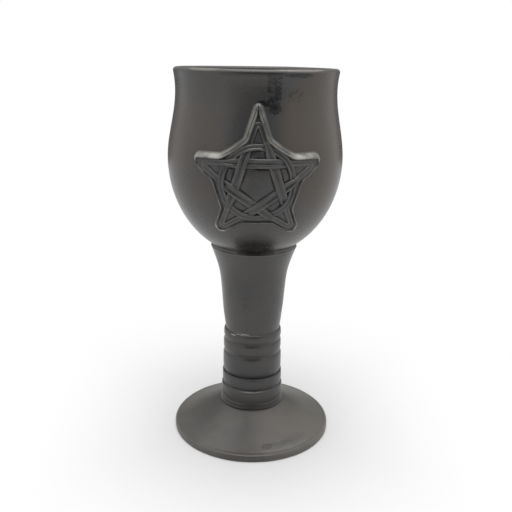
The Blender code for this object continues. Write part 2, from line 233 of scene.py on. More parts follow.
def bowl_outline():
    """Return the bowl's outline from the axis underneath, over the lip, to the axis inside."""
    points = bowl_wall(BELLY_RADIUS, BELLY_DEPTH, WAIST_RADIUS, LIP_RADIUS, OUTER_WALL_STEPS)
    lip_round = LIP_THICKNESS / 2.0
    lip_height = BELLY_HEIGHT + WAIST_RISE + LIP_RISE
    lip_centre = (LIP_RADIUS - lip_round, lip_height)
    points += arc(lip_centre, lip_round, 0.0, math.pi, LIP_STEPS)[1:-1]
    inside = bowl_wall(
        BELLY_RADIUS - BOWL_WALL,
        BELLY_DEPTH - BOWL_FLOOR,
        WAIST_RADIUS - WAIST_WALL,
        LIP_RADIUS - LIP_THICKNESS,
        INNER_WALL_STEPS,
    )
    return points + inside[::-1]


def groove(low_radius, high_radius, height, depth, half):
    """Return a soft groove between two bands, from below it to above it."""
    bottom = min(low_radius, high_radius) - depth
    points = []
    for share in GROOVE_SHARES:
        side = low_radius if share < 0.0 else high_radius
        radius = bottom + (side - bottom) * ease(abs(share))
        points.append((radius, height + half * share))
    return points


def band_side(radius, height, band_height, swells):
    """Return the gently swelling side of a turned band."""
    return [(radius + swell, height + band_height * share) for share, swell in swells]


def stem_outline():
    """Return the stem's closed outline: bands, column, bead, seat and bore."""
    points = [(STEM_BASE_RADIUS, FOOT_TOP), (STEM_BASE_RADIUS, FOOT_TOP + STEM_BASE_EDGE)]
    height = FOOT_TOP
    for index, (band_height, radius, depth, half) in enumerate(BANDS[:-1]):
        points += band_side(radius, height, band_height, BAND_SWELLS)
        height += band_height
        points += groove(radius, BANDS[index + 1][1], height, depth, half)
    top_height, top_radius = BANDS[-1][:2]
    points += band_side(top_radius, height, top_height, TOP_BAND_SWELLS)
    height += top_height
    neck = Vector((NECK_RADIUS, height))
    rim = Vector((SEAM_RADIUS, STEM_MOUTH - SEAM_BEAD))
    reach = COLUMN_HANDLE * (rim.y - neck.y)
    knots = (
        neck,
        neck + Vector((COLUMN_SWELL, reach)),
        rim - Vector((COLUMN_FLARE, reach * COLUMN_HANDLE)),
        rim,
    )
    for point in interpolate_bezier(*knots, COLUMN_STEPS)[:-1]:
        near = max(0.0, 1.0 - abs(point.y - SEAM_LINE_HEIGHT) / SEAM_LINE_HALF)
        points.append((point.x - SEAM_LINE_DEPTH * ease(near), point.y))
    points += arc((rim.x - SEAM_BEAD, rim.y), SEAM_BEAD, 0.0, math.pi / 2.0, BEAD_STEPS)
    points += SEAT_LINE
    points.append((BORE_RADIUS, BORE_TOP))
    points.append((BORE_RADIUS, FOOT_TOP))
    return points


def foot_outline():
    """Return the foot's closed outline: hub, slope, edge, resting ring, recess and vent."""
    inner, outer, channel_floor = SLIP_CHANNEL
    points = [(BORE_RADIUS, FOOT_HUB), (inner, FOOT_HUB)]
    points += [(inner, channel_floor), (outer, channel_floor), (outer, FOOT_HUB)]
    edge = FOOT_RADIUS - FOOT_EDGE_ROUND
    for step in range(SLOPE_STEPS):
        share = step / SLOPE_STEPS
        radius = STEM_BASE_RADIUS + (edge - STEM_BASE_RADIUS) * share
        sag = FOOT_SAG * 4.0 * share * (1.0 - share)
        points.append((radius, FOOT_HUB + (FOOT_EDGE - FOOT_HUB) * share - sag))
    upper = (edge, FOOT_EDGE - FOOT_EDGE_ROUND)
    points += arc(upper, FOOT_EDGE_ROUND, math.pi / 2.0, 0.0, EDGE_STEPS)
    lower = (FOOT_RADIUS - FOOT_SOLE_ROUND, FOOT_SOLE_ROUND)
    points += arc(lower, FOOT_SOLE_ROUND, 0.0, -math.pi / 2.0, SOLE_STEPS)
    ring_inner = FOOT_RADIUS - FOOT_SOLE_ROUND - FOOT_RING
    points.append((ring_inner, 0.0))
    points.append((ring_inner - FOOT_RECESS, FOOT_RECESS))
    points.append((outer, FOOT_UNDERSIDE))
    points.append((BORE_RADIUS, FOOT_UNDERSIDE))
    return points


def new_piece(name):
    """Return the piece just added, under its own name."""
    piece = bpy.context.object
    piece.name = name
    piece.data.name = name
    return piece


def join_and_face_out():
    """Join the points that lie together, turn every face outward and leave edit mode."""
    bpy.ops.mesh.select_all(action="SELECT")
    bpy.ops.mesh.remove_doubles(threshold=MERGE_DISTANCE)
    bpy.ops.mesh.normals_make_consistent(inside=False)
    bpy.ops.object.mode_set(mode="OBJECT")


def spin_up(name, outline, closed):
    """Draw a point along an outline and spin the line about the wheel's axis."""
    path = [Vector((radius, 0.0, height)) * MM for radius, height in outline]
    if closed:
        path.append(path[0])
    bpy.ops.object.select_all(action="DESELECT")
    bpy.ops.mesh.primitive_plane_add(size=START_SIZE)
    piece = new_piece(name)
    bpy.ops.object.mode_set(mode="EDIT")
    bpy.ops.mesh.merge(type="CENTER")
    bpy.ops.transform.translate(value=path[0])
    for here, there in zip(path, path[1:]):
        bpy.ops.mesh.extrude_region_move(TRANSFORM_OT_translate={"value": there - here})
    bpy.ops.mesh.select_all(action="SELECT")
    bpy.ops.mesh.remove_doubles(threshold=MERGE_DISTANCE)
    bpy.ops.mesh.select_all(action="SELECT")
    bpy.ops.mesh.spin(
        steps=TURN_STEPS,
        angle=2.0 * math.pi,
        center=(0.0, 0.0, 0.0),
        axis=(0.0, 0.0, 1.0),
    )
    join_and_face_out()
    return piece


def take_up(piece):
    """Select a piece by itself and make it the active one."""
    bpy.ops.object.select_all(action="DESELECT")
    piece.select_set(True)
    bpy.context.view_layer.objects.active = piece


def apply_modifier(piece, modifier):
    """Apply a modifier to a piece."""
    take_up(piece)
    bpy.ops.object.modifier_apply(modifier=modifier.name)


def hand_wobble(piece, size, depth):
    """Press a piece in a little and unevenly, as a hand does on the wheel."""
    texture = bpy.data.textures.new(piece.name + "_wobble", "CLOUDS")
    texture.noise_scale = size
    texture.noise_depth = 1
    press = piece.modifiers.new("press", "DISPLACE")
    press.texture = texture
    press.texture_coords = "LOCAL"
    press.mid_level = 1.0
    press.strength = depth
    apply_modifier(piece, press)


def settle(piece, node, material):
    """Shade a piece smooth, glaze it and put it in the place of its CAD node."""
    take_up(piece)
    bpy.ops.object.shade_smooth_by_angle(angle=SMOOTH_ANGLE)
    piece.data.materials.clear()
    piece.data.materials.append(material)
    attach(piece, "root")
    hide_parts(node)


MERIDIAN = bowl_wall(BELLY_RADIUS, BELLY_DEPTH, WAIST_RADIUS, LIP_RADIUS, MERIDIAN_STEPS)
MERIDIAN_LENGTHS = [0.0]
for lower_point, upper_point in zip(MERIDIAN, MERIDIAN[1:]):
    rise = math.dist(lower_point, upper_point)
    MERIDIAN_LENGTHS.append(MERIDIAN_LENGTHS[-1] + rise)


def on_bowl(across, up, proud):
    """Lay a point of the flat star on the bowl, standing proud of it by the given height."""
    length = STAR_ORIGIN + up
    index = bisect_right(MERIDIAN_LENGTHS, length) - 1
    radius, height = MERIDIAN[index]
    next_radius, next_height = MERIDIAN[index + 1]
    stretch = MERIDIAN_LENGTHS[index + 1] - MERIDIAN_LENGTHS[index]
    share = (length - MERIDIAN_LENGTHS[index]) / stretch
    out = (next_height - height) / stretch
    lift = (radius - next_radius) / stretch
    radius += (next_radius - radius) * share
    height += (next_height - height) * share
    turn = across / radius
    reach = radius + proud * out
    place = (reach * math.sin(turn), -reach * math.cos(turn), height + proud * lift)
    return Vector(place) * MM


def turned_flat(across, up, angle):
    """Turn a point of the flat star clockwise about its centre."""
    cosine = math.cos(angle)
    sine = math.sin(angle)
    return across * cosine + up * sine, up * cosine - across * sine


def level_at(place, knots):
    """Return the level at a place along (place, level) knots, with soft ramps."""
    for (start, level), (end, next_level) in zip(knots, knots[1:]):
        if place <= end:
            return level + (next_level - level) * ease((place - start) / (end - start))
    return knots[-1][1]


def strand_half(place):
    """Return half the strand's width at a place along a run; it narrows toward the tips."""
    start = SELF_AT + STRAND_WIDTH / 2.0
    end = RING_AT + STRAND_WIDTH / 2.0
    share = ease((abs(place) - start) / (end - start))
    return (STRAND_WIDTH + (STRAND_TIP_WIDTH - STRAND_WIDTH) * share) / 2.0


def strand_stations():
    """Return (across, up, width, top) along the endless strand: five runs and five tight turns."""
    knots = (
        (-STRAND_REACH, 0.0),
        (-RING_AT - CROWN_HALF - WEAVE_RAMP, 0.0),
        (-RING_AT - CROWN_HALF, WEAVE_LIFT),
        (-RING_AT + CROWN_HALF, WEAVE_LIFT),
        (-SELF_AT - CROWN_HALF, 0.0),
        (-SELF_AT + CROWN_HALF, 0.0),
        (SELF_AT - CROWN_HALF, WEAVE_LIFT),
        (SELF_AT + CROWN_HALF, WEAVE_LIFT),
        (RING_AT - CROWN_HALF, 0.0),
        (STRAND_REACH, 0.0),
    )
    run = []
    steps = round(2.0 * STRAND_REACH / STATION_STRIDE)
    for step in range(steps):
        place = -STRAND_REACH + 2.0 * STRAND_REACH * step / steps
        width = 2.0 * strand_half(place)
        run.append((place, STRAND_APOTHEM, width, STRAND_LOW + level_at(place, knots)))
    for step in range(TIP_STEPS):
        angle = math.pi / 2.0 - (math.pi - 2.0 * POINT_HALF_ANGLE) * step / TIP_STEPS
        across = STRAND_REACH + TIP_TURN * math.cos(angle)
        up = STRAND_APOTHEM - TIP_TURN + TIP_TURN * math.sin(angle)
        run.append((across, up, STRAND_TIP_WIDTH, STRAND_LOW))
    stations = []
    for arm in range(STAR_ARMS):
        for across, up, width, top in run:
            stations.append((*turned_flat(across, up, 2.0 * ARM_ANGLE * arm), width, top))
    return stations


def ring_stations():
    """Return (across, up, width, top) round the ring, which dives under every second crossing."""
    over = math.atan2(STRAND_APOTHEM, RING_AT)
    under = math.pi - over - 2.0 * ARM_ANGLE
    half = CROWN_HALF / RING_RADIUS
    knots = (
        (under - half, 0.0),
        (under + half, 0.0),
        (over - half, WEAVE_LIFT),
        (over + half, WEAVE_LIFT),
        (under - half + ARM_ANGLE, 0.0),
    )
    stations = []
    steps = round(ARM_ANGLE * RING_RADIUS / STATION_STRIDE)
    for arm in range(STAR_ARMS):
        for step in range(steps):
            angle = under - half + ARM_ANGLE * step / steps
            top = STRAND_LOW + level_at(angle, knots)
            angle += arm * ARM_ANGLE
            across = RING_RADIUS * math.cos(angle)
            stations.append((across, RING_RADIUS * math.sin(angle), RING_WIDTH, top))
    return stations


def border_corners():
    """Return the corners of the star's border, each with the radius that rounds it."""
    apex = BORDER_APOTHEM / math.sin(POINT_HALF_ANGLE)
    taper = math.tan(POINT_HALF_ANGLE)
    cosine = math.cos(ARM_ANGLE / 2.0)
    sine = math.sin(ARM_ANGLE / 2.0)
    bend = (BORDER_CHORD - apex * taper * sine) / (cosine - taper * sine)
    bend_half = (apex - bend) * taper
    places = ((-bend_half, bend), (0.0, apex), (bend_half, bend))
    corners = []
    for arm, arm_floor in enumerate(ARM_FLOORS):
        tip = STRAND_TIP + arm_floor + BORDER_WIDTH / 2.0
        tip_radius = (apex - tip) / (1.0 / math.sin(POINT_HALF_ANGLE) - 1.0)
        rounds = (BORDER_BEND_RADIUS, tip_radius, BORDER_BEND_RADIUS)
        for (across, up), radius in zip(places, rounds):
            corners.append((Vector(turned_flat(across, up, ARM_ANGLE * arm)), radius))
    return corners


def border_stations():
    """Return (across, up, width, top) round the star's border."""
    corners = border_corners()
    outline = []
    for index, (corner, radius) in enumerate(corners):
        back = (corners[index - 1][0] - corner).normalized()
        ahead = (corners[(index + 1) % len(corners)][0] - corner).normalized()
        half = back.angle(ahead) / 2.0
        centre = corner + (back + ahead).normalized() * radius / math.sin(half)
        start = corner + back * radius / math.tan(half) - centre
        end = corner + ahead * radius / math.tan(half) - centre
        for step in range(CORNER_STEPS + 1):
            outline.append(centre + start.slerp(end, step / CORNER_STEPS).normalized() * radius)
    stations = []
    for point, after in zip(outline, outline[1:] + outline[:1]):
        strides = max(1, round((after - point).length / STATION_STRIDE))
        for stride in range(strides):
            place = point.lerp(after, stride / strides)
            stations.append((place.x, place.y, BORDER_WIDTH, BORDER_TOP))
    return stations


def pooling_and_shade(across, up):
    """Return how much the field darkens at a place, as pooled glaze and painted shade: most along
    the edges of the strips.
    """
    gap = abs(math.hypot(across, up) - RING_RADIUS) - RING_WIDTH / 2.0
    for arm in range(STAR_ARMS):
        on_run, out = turned_flat(across, up, -2.0 * ARM_ANGLE * arm)
        if abs(on_run) < STRAND_REACH:
            gap = min(gap, abs(out - STRAND_APOTHEM) - strand_half(on_run))
    return ease(1.0 - abs(gap - POOL_AND_SHADE_OFFSET) / POOL_AND_SHADE_HALF)


def calmness(place):
    """Return the share of the dark pooled glaze and painted shade left at a place: least low down
    and in the side arms.
    """
    low = past(-place.y, CALM_DOWN)
    aside = past(abs(place.x), CALM_OUT) * past(place.y, CALM_UP)
    return 1.0 - max(0.5 * low, 0.75 * aside)


def strand_row(here, aside_way, width, top):
    """Return the points across a strand as (across, up, proud, tone), round its whole section."""
    half = width / 2.0
    calm = calmness(here)
    # Negative tones darken the middle groove and the strand's edges as pooled glaze and painted
    # shade; the ridges are paler.
    # Aside, height and tone, from the groove along the middle over one ridge and in underneath
    section = (
        (0.0, top - 0.5 * calm, -0.9 * calm),
        (half * 0.18, top - 0.42 * calm, -0.7 * calm),
        (half * 0.42, top - 0.08, 0.05),
        (half * 0.66, top, STRAND_PALE),
        (half * 0.88, top - 0.14, STRAND_PALE),
        (half * 1.02, FIELD_HEIGHT + 0.05, -0.3 * calm),
        (half + 0.15, FIELD_LOW - 0.3, -0.8 * calm),
        (half * 0.5, 0.2, 0.0),
    )
    row = list(section) + [(-aside, height, tone) for aside, height, tone in reversed(section[1:])]
    return [(*(here + aside_way * aside), height, tone) for aside, height, tone in row]


def cut_corners(line):
    """Return a line softened by cutting its corners, with its ends kept."""
    softened = [line[0]]
    for point, after in zip(line, line[1:]):
        softened += [point.lerp(after, 0.25), point.lerp(after, 0.75)]
    return softened + [line[-1]]


def room_inward(here, aside_way):
    """Return how far in a row of the border reaches before it meets the middle of the top arm."""
    if here.y < TOP_ARM[0]:
        return STRAND_TIP
    # At the very tip both lengths come to nothing, and TOP_TIP_ROUND is the room left
    return (abs(here.x) + NEAR_MIDDLE * TOP_TIP_ROUND) / (abs(aside_way.x) + NEAR_MIDDLE)


def border_section(here, aside_way, width, top, shoulder, foot_height):
    """Return the border's section as points of (aside, height, tone), from the field outward."""
    half = width / 2.0
    outward = aside_way.dot(here.normalized())
    low_tip = past(here.length, LOW_TIPS_OUT) * past(-here.y, LOW_TIPS_DOWN)
    low_tip *= past(outward, LOW_TIPS_FACING)
    side_arm = past(abs(here.x), SIDE_ARMS)
    soft_end = (1.0 - shoulder) * past(abs(here.x), SIDE_TIPS_OUT) * past(here.y, SIDE_TIPS_UP)
    crest = -0.2 - 0.55 * shoulder
    edge = half - 0.2 + 0.7 * shoulder
    band = edge - crest
    crest_height = BORDER_LOW - 0.5 * soft_end + (top - BORDER_LOW) * shoulder
    # Painted highlight: the border is paler along its up-facing upper runs, most in the side arms,
    # and a painted reflection brightens the outward faces of the lower tips.
    pale = 0.25 + (0.65 - 0.1 * past(here.y, TOP_ARM) + 0.5 * side_arm) * shoulder
    pale = max(pale, 1.8 * low_tip)
    crest_tone = max(pale, 0.7 - 0.6 * soft_end)
    # Painted shade along the groove in the middle of the upper runs.
    line_depth = shoulder * (1.0 - side_arm)
    ridge = (
        (-half + 0.05 - 0.35 * shoulder, foot_height, 0.0),
        # Darker at the border's inner foot, as pooled glaze and painted shade.
        (-half + 0.2 - 0.3 * shoulder, foot_height, -0.15 - 0.4 * shoulder),
        (crest - 0.35, crest_height - 0.4, 0.1),
        (crest - 0.16, crest_height, crest_tone),
        (crest + band * 0.12, crest_height - 0.04, crest_tone),
        (crest + band * 0.24, crest_height * 0.9, pale),
        (crest + band * 0.34, crest_height * 0.76 - 0.35 * line_depth, pale - 1.6 * line_depth),
        (crest + band * 0.44, crest_height * 0.66, pale),
        (crest + band * 0.72, crest_height * 0.25, pale),
        (edge, 0.04, 0.2 * pale),
        (edge + 0.5, -0.35, 0.0),
    )
    line = cut_corners(cut_corners([Vector(point) for point in ridge]))
    innermost = -MEETING_SHARE * room_inward(here, aside_way)
    for point in line:
        point.x = max(point.x, innermost)
    return line


def field_row(foot, foot_height):
    """Return the points of the star's floor, from its middle out to the border's foot."""
    row = []
    for step in range(1, FIELD_STEPS):
        share = step / FIELD_STEPS
        place = foot * share
        pool_and_shade = pooling_and_shade(place.x, place.y) * calmness(place)
        height = FIELD_HEIGHT + (foot_height - FIELD_HEIGHT) * ease(2.0 * share - 1.0)
        fading = 1.0 - 0.6 * past(place.length, FIELD_RIM)
        middle = ease(1.0 - place.length / FIELD_MIDDLE)
        # Darker toward the field's middle, and along the strips' edges as pooled glaze and painted
        # shade.
        tone = -0.3 - 0.25 * middle - 0.5 * pool_and_shade * fading
        row.append((*place, height - POOL_DEPTH * pool_and_shade, tone))
    return row


def border_row(here, aside_way, width, top):
    """Return the points from the field's middle over the border and back under it."""
    here = here - aside_way * TOP_ARM_NARROWING * past(here.y, TOP_ARM)
    shoulder = past(here.y, SHOULDERS_UP) * past(aside_way.y, SHOULDERS_FACING)
    foot_height = FIELD_LOW + (FIELD_HEIGHT - FIELD_LOW) * shoulder
    line = border_section(here, aside_way, width, top, shoulder, foot_height)
    row = field_row(here + aside_way * line[0].x, foot_height)
    for aside, height, tone in line:
        place = here + aside_way * aside
        # Painted shade in the parting slot down the middle of the top arm.
        parting = ease(1.0 - abs(place.x) / PARTING_HALF) * past(place.y, PARTING_UP)
        sunk = height - PARTING_DEPTH * parting * ease(height)
        row.append((*place, sunk, tone - PARTING_TONE * parting))
    row += [(*(here * share), BORDER_UNDERSIDE, 0.0) for share in BORDER_UNDERSIDE_SHARES]
    return row


def lay_strip(name, stations, row_across, closed):
    """Lay a strip of clay on the bowl: a sheet is carried along its stations and joined."""
    count = len(stations)
    rows = []
    for index, (across, up, width, top) in enumerate(stations):
        here = Vector((across, up))
        back = (here - Vector(stations[index - 1][:2])).normalized()
        ahead = (Vector(stations[(index + 1) % count][:2]) - here).normalized()
        way = (back + ahead).normalized()
        row = row_across(here, Vector((-way.y, way.x)), width, top)
        rows.append(row + row[:1] if closed else row)
    rows.append(rows[0])
    bpy.ops.object.select_all(action="DESELECT")
    bpy.ops.mesh.primitive_grid_add(
        x_subdivisions=len(rows[0]) - 1, y_subdivisions=count, size=START_SIZE
    )
    piece = new_piece(name)
    tones = piece.data.attributes.new("tone", "FLOAT", "POINT")
    points = [point for row in rows for point in row]
    for vertex, (across, up, proud, tone) in enumerate(points):
        piece.data.vertices[vertex].co = on_bowl(across, up, proud)
        tones.data[vertex].value = tone
    bpy.ops.object.mode_set(mode="EDIT")
    join_and_face_out()
    return piece


def soften(piece):
    """Round a strip off."""
    rounding = piece.modifiers.new("rounding", "SUBSURF")
    rounding.levels = 1
    rounding.render_levels = 1
    apply_modifier(piece, rounding)


def close_rims(piece):
    """Draw each open rim of a piece together to one point."""
    take_up(piece)
    bpy.ops.object.mode_set(mode="EDIT")
    bpy.ops.mesh.select_mode(type="EDGE")
    bpy.ops.mesh.select_all(action="DESELECT")
    bpy.ops.mesh.select_non_manifold(extend=False)
    bpy.ops.mesh.extrude_edges_move()
    bpy.ops.mesh.merge(type="COLLAPSE")
    bpy.ops.mesh.select_all(action="SELECT")
    bpy.ops.mesh.normals_make_consistent(inside=False)
    bpy.ops.object.mode_set(mode="OBJECT")


# Materials
RANGE_SOCKETS = ("From Min", "From Max", "To Min", "To Max")
# Where a mix node takes its first and second value and gives the result
MIX_SOCKETS = {"FLOAT": (2, 3, 0), "RGBA": (6, 7, 2)}


def add(tree, kind, **settings):
    """Add a node to a tree and set its values."""
    node = tree.nodes.new(kind)
    for name, value in settings.items():
        setattr(node, name, value)
    return node


def feed(tree, target, source):
    """Set a socket to a value, or link it to another socket."""
    if isinstance(source, bpy.types.NodeSocket):
        tree.links.new(source, target)
    else:
        target.default_value = source


def math_node(tree, operation, first, second, clamp=False):
    """Return the result of a sum on two values."""
    node = add(tree, "ShaderNodeMath", operation=operation, use_clamp=clamp)
    feed(tree, node.inputs[0], first)
    feed(tree, node.inputs[1], second)
    return node.outputs[0]


def vector_node(tree, operation, first, second):
    """Return the result of a sum on two vectors."""
    node = add(tree, "ShaderNodeVectorMath", operation=operation)
    feed(tree, node.inputs[0], first)
    feed(tree, node.inputs[1], second)
    return node.outputs["Value"] if operation == "LENGTH" else node.outputs["Vector"]


def length_of(tree, vector):
    """Return the length of a vector."""
    return vector_node(tree, "LENGTH", vector, (0.0, 0.0, 0.0))


def ramp(tree, value, low, high, to_low=0.0, to_high=1.0):
    """Return a value carried softly from one range to another."""
    node = add(tree, "ShaderNodeMapRange", interpolation_type="SMOOTHSTEP")
    feed(tree, node.inputs["Value"], value)
    for socket, number in zip(RANGE_SOCKETS, (low, high, to_low, to_high)):
        feed(tree, node.inputs[socket], number)
    return node.outputs["Result"]


def blend(tree, share, first, second, kind="RGBA"):
    """Return a mix of two colours, or of two plain values."""
    node = add(tree, "ShaderNodeMix", data_type=kind)
    first_socket, second_socket, result_socket = MIX_SOCKETS[kind]
    feed(tree, node.inputs[0], share)
    feed(tree, node.inputs[first_socket], first)
    feed(tree, node.inputs[second_socket], second)
    return node.outputs[result_socket]


def noise(tree, place, scale, detail, roughness=0.55):
    """Return a noise value over a place."""
    node = add(tree, "ShaderNodeTexNoise")
    feed(tree, node.inputs["Vector"], place)
    feed(tree, node.inputs["Scale"], scale)
    feed(tree, node.inputs["Detail"], detail)
    feed(tree, node.inputs["Roughness"], roughness)
    return node.outputs["Fac"]


def effect(name, inputs, outputs):
    """Start a shared effect with named inputs and outputs."""
    tree = bpy.data.node_groups.new(name, "ShaderNodeTree")
    for label, kind in inputs:
        tree.interface.new_socket(name=label, in_out="INPUT", socket_type="NodeSocket" + kind)
    for label in outputs:
        tree.interface.new_socket(name=label, in_out="OUTPUT", socket_type="NodeSocketFloat")
    return tree, add(tree, "NodeGroupInput").outputs, add(tree, "NodeGroupOutput").inputs


# Shared effects: the ranges of noise that they use, and how far apart two noises are taken
THIN_RANGE = (0.32, 0.7)
WARM_RANGE = (0.38, 0.64)
WARM_OFFSET = (0.31, 0.17, 0.23)
LINE_WANDER = 9.0
SPECK_EDGE = (0.12, 0.34)
GRAIN_SCALE = 760.0
GRAIN_MIDDLE = 0.5
BLOT_EDGE = (0.8, 1.0)
VEIN_SCALE = 640.0
VEIN_OFFSET = (0.2, 0.1, 0.4)
VEIN_RANGE = (0.45, 0.56)


def make_glaze_clouds():
    """Slow changes in the glaze: how thick it lies, and where it turns warm."""
    tree, given, made = effect(
        "glaze_clouds", (("Place", "Vector"), ("Size", "Float")), ("Thin", "Warm")
    )
    scale = math_node(tree, "DIVIDE", 1.0, given["Size"])
    thin = noise(tree, given["Place"], scale, 5.0)
    feed(tree, made["Thin"], ramp(tree, thin, *THIN_RANGE))
    moved = vector_node(tree, "ADD", given["Place"], WARM_OFFSET)
    warm = noise(tree, moved, scale, 2.0)
    feed(tree, made["Warm"], ramp(tree, warm, *WARM_RANGE))
    return tree


def make_throwing_lines():
    """Fine level lines that a hand leaves in turning clay."""
    tree, given, made = effect(
        "throwing_lines", (("Place", "Vector"), ("Pitch", "Float")), ("Height",)
    )
    stretch = add(tree, "ShaderNodeCombineXYZ")
    feed(tree, stretch.inputs["X"], LINE_WANDER)
    feed(tree, stretch.inputs["Y"], LINE_WANDER)
    feed(tree, stretch.inputs["Z"], math_node(tree, "DIVIDE", 1.0, given["Pitch"]))
    place = vector_node(tree, "MULTIPLY", given["Place"], stretch.outputs[0])
    feed(tree, made["Height"], noise(tree, place, 1.0, 3.0))
    return tree


def make_pin_specks():
    """Small specks scattered in the glaze."""
    tree, given, made = effect(
        "pin_specks", (("Place", "Vector"), ("Size", "Float"), ("Share", "Float")), ("Mask",)
    )
    cells = add(tree, "ShaderNodeTexVoronoi", feature="F1")
    feed(tree, cells.inputs["Vector"], given["Place"])
    feed(tree, cells.inputs["Scale"], math_node(tree, "DIVIDE", 1.0, given["Size"]))
    speck = ramp(tree, cells.outputs["Distance"], *SPECK_EDGE, 1.0, 0.0)
    pick = add(tree, "ShaderNodeSeparateColor")
    feed(tree, pick.inputs[0], cells.outputs["Color"])
    chosen = math_node(tree, "LESS_THAN", pick.outputs[0], given["Share"])
    feed(tree, made["Mask"], math_node(tree, "MULTIPLY", speck, chosen))
    return tree


def make_ragged_blot():
    """A ragged spot of a given reach round a middle, broken up by veins of bare glaze."""
    tree, given, made = effect(
        "ragged_blot",
        (
            ("Place", "Vector"),
            ("Middle", "Vector"),
            ("Reach", "Vector"),
            ("Ragged", "Float"),
            ("Broken", "Float"),
        ),
        ("Mask",),
    )
    offset = vector_node(tree, "SUBTRACT", given["Place"], given["Middle"])
    far = length_of(tree, vector_node(tree, "DIVIDE", offset, given["Reach"]))
    grain = noise(tree, given["Place"], GRAIN_SCALE, 6.0, 0.68)
    centred = math_node(tree, "SUBTRACT", grain, GRAIN_MIDDLE)
    torn = math_node(tree, "MULTIPLY", centred, given["Ragged"])
    edge = math_node(tree, "ADD", far, torn)
    whole = ramp(tree, edge, *BLOT_EDGE, 1.0, 0.0)
    moved = vector_node(tree, "ADD", given["Place"], VEIN_OFFSET)
    veins = ramp(tree, noise(tree, moved, VEIN_SCALE, 4.0, 0.6), *VEIN_RANGE, 1.0, 0.0)
    gaps = math_node(tree, "MULTIPLY", veins, given["Broken"])
    left = math_node(tree, "SUBTRACT", 1.0, gaps)
    feed(tree, made["Mask"], math_node(tree, "MULTIPLY", whole, left))
    return tree


glaze_clouds = make_glaze_clouds()
throwing_lines = make_throwing_lines()
pin_specks = make_pin_specks()
ragged_blot = make_ragged_blot()


def use(tree, group, **inputs):
    """Place a shared effect in a material with its own values."""
    node = add(tree, "ShaderNodeGroup", node_tree=group)
    for name, value in inputs.items():
        feed(tree, node.inputs[name], value)
    return node.outputs


GLAZE_DEEP = (0.040, 0.041, 0.043, 1.0)
GLAZE_WARM = (0.054, 0.049, 0.045, 1.0)
GLAZE_BROWN = (0.070, 0.054, 0.041, 1.0)
GLAZE_THIN = (0.077, 0.075, 0.070, 1.0)
# Black glaze, also laid on as painted shade and as a painted dark reflection
BLACK_GLAZE_AND_SHADE = (0.004, 0.004, 0.004, 1.0)
# Pale glaze, also laid on as painted highlight and painted light
PALE_GLAZE_AND_HIGHLIGHT = (0.22, 0.213, 0.187, 1.0)
# Worn glaze, also laid on as painted light inside the bowl
GLAZE_WORN_AND_LIT = (0.135, 0.122, 0.108, 1.0)
# Pale marks, also laid on as painted highlight and painted reflection on the star's border
PALE_MARK_AND_HIGHLIGHT = (0.62, 0.60, 0.56, 1.0)
BARE_CLAY = (0.115, 0.085, 0.065, 1.0)
THIN_WEIGHT = 0.45
SPECK_SIZE = 0.0016
SPECK_SHARE = 0.18
SPECK_WEIGHT = 0.35
SATIN_SPREAD = 0.09
FINE_SCALE = 1100.0
FINE_WEIGHT = 0.35
BUMP_DISTANCE = 0.0003


class Glaze:
    """A dark satin glaze, built up effect by effect."""

    def __init__(self, name, line_pitch, cloud_size, satin):
        self.material = bpy.data.materials.new(name)
        self.material.use_nodes = True
        self.tree = self.material.node_tree
        self.shader = self.tree.nodes["Principled BSDF"]
        self.place = add(self.tree, "ShaderNodeTexCoord").outputs["Object"]
        clouds = use(self.tree, glaze_clouds, Place=self.place, Size=cloud_size)
        lines = use(self.tree, throwing_lines, Place=self.place, Pitch=line_pitch)
        specks = use(
            self.tree, pin_specks, Place=self.place, Size=SPECK_SIZE, Share=SPECK_SHARE
        )
        self.lines = lines["Height"]
        base = blend(self.tree, clouds["Warm"], GLAZE_DEEP, GLAZE_WARM)
        base = blend(self.tree, self.product(clouds["Thin"], THIN_WEIGHT), base, GLAZE_THIN)
        share = self.product(specks["Mask"], SPECK_WEIGHT)
        self.colour = blend(self.tree, share, base, BLACK_GLAZE_AND_SHADE)
        self.thin = clouds["Thin"]
        self.roughness = self.ramp(self.thin, 0.0, 1.0, satin, satin + SATIN_SPREAD)

    def ramp(self, value, low, high, to_low=0.0, to_high=1.0):
        """Return a value carried softly from one range to another."""
        return ramp(self.tree, value, low, high, to_low, to_high)

    def product(self, first, second):
        """Return the product of two values."""
        return math_node(self.tree, "MULTIPLY", first, second)

    def along(self, axis):
        """Return how far a place on the chalice lies along an axis."""
        apart = add(self.tree, "ShaderNodeSeparateXYZ")
        feed(self.tree, apart.inputs[0], self.place)
        return apart.outputs[axis]

    def blot(self, middle, reach, ragged, broken, weight, colour):
        """Lay a ragged blot of another colour in the glaze."""
        mask = use(
            self.tree,
            ragged_blot,
            Place=self.place,
            Middle=middle,
            Reach=reach,
            Ragged=ragged,
            Broken=broken,
        )
        share = self.product(mask["Mask"], weight)
        self.colour = blend(self.tree, share, self.colour, colour)

    def cover(self, mask, colour, roughness):
        """Let another finish show where a mask is."""
        self.colour = blend(self.tree, mask, self.colour, colour)
        self.roughness = blend(self.tree, mask, self.roughness, roughness, "FLOAT")

    def finish(self, bump_strength):
        """Join the effects to the shader."""
        fine = noise(self.tree, self.place, FINE_SCALE, 3.0)
        height = math_node(self.tree, "ADD", self.lines, self.product(fine, FINE_WEIGHT))
        bump = add(self.tree, "ShaderNodeBump")
        bump.inputs["Strength"].default_value = bump_strength
        bump.inputs["Distance"].default_value = BUMP_DISTANCE
        feed(self.tree, bump.inputs["Height"], height)
        feed(self.tree, self.shader.inputs["Normal"], bump.outputs["Normal"])
        feed(self.tree, self.shader.inputs["Base Color"], self.colour)
        feed(self.tree, self.shader.inputs["Roughness"], self.roughness)
        return self.material


def spot(x, y, z):
    """Return a place on the chalice given in millimetres."""
    return (x * MM, y * MM, z * MM)


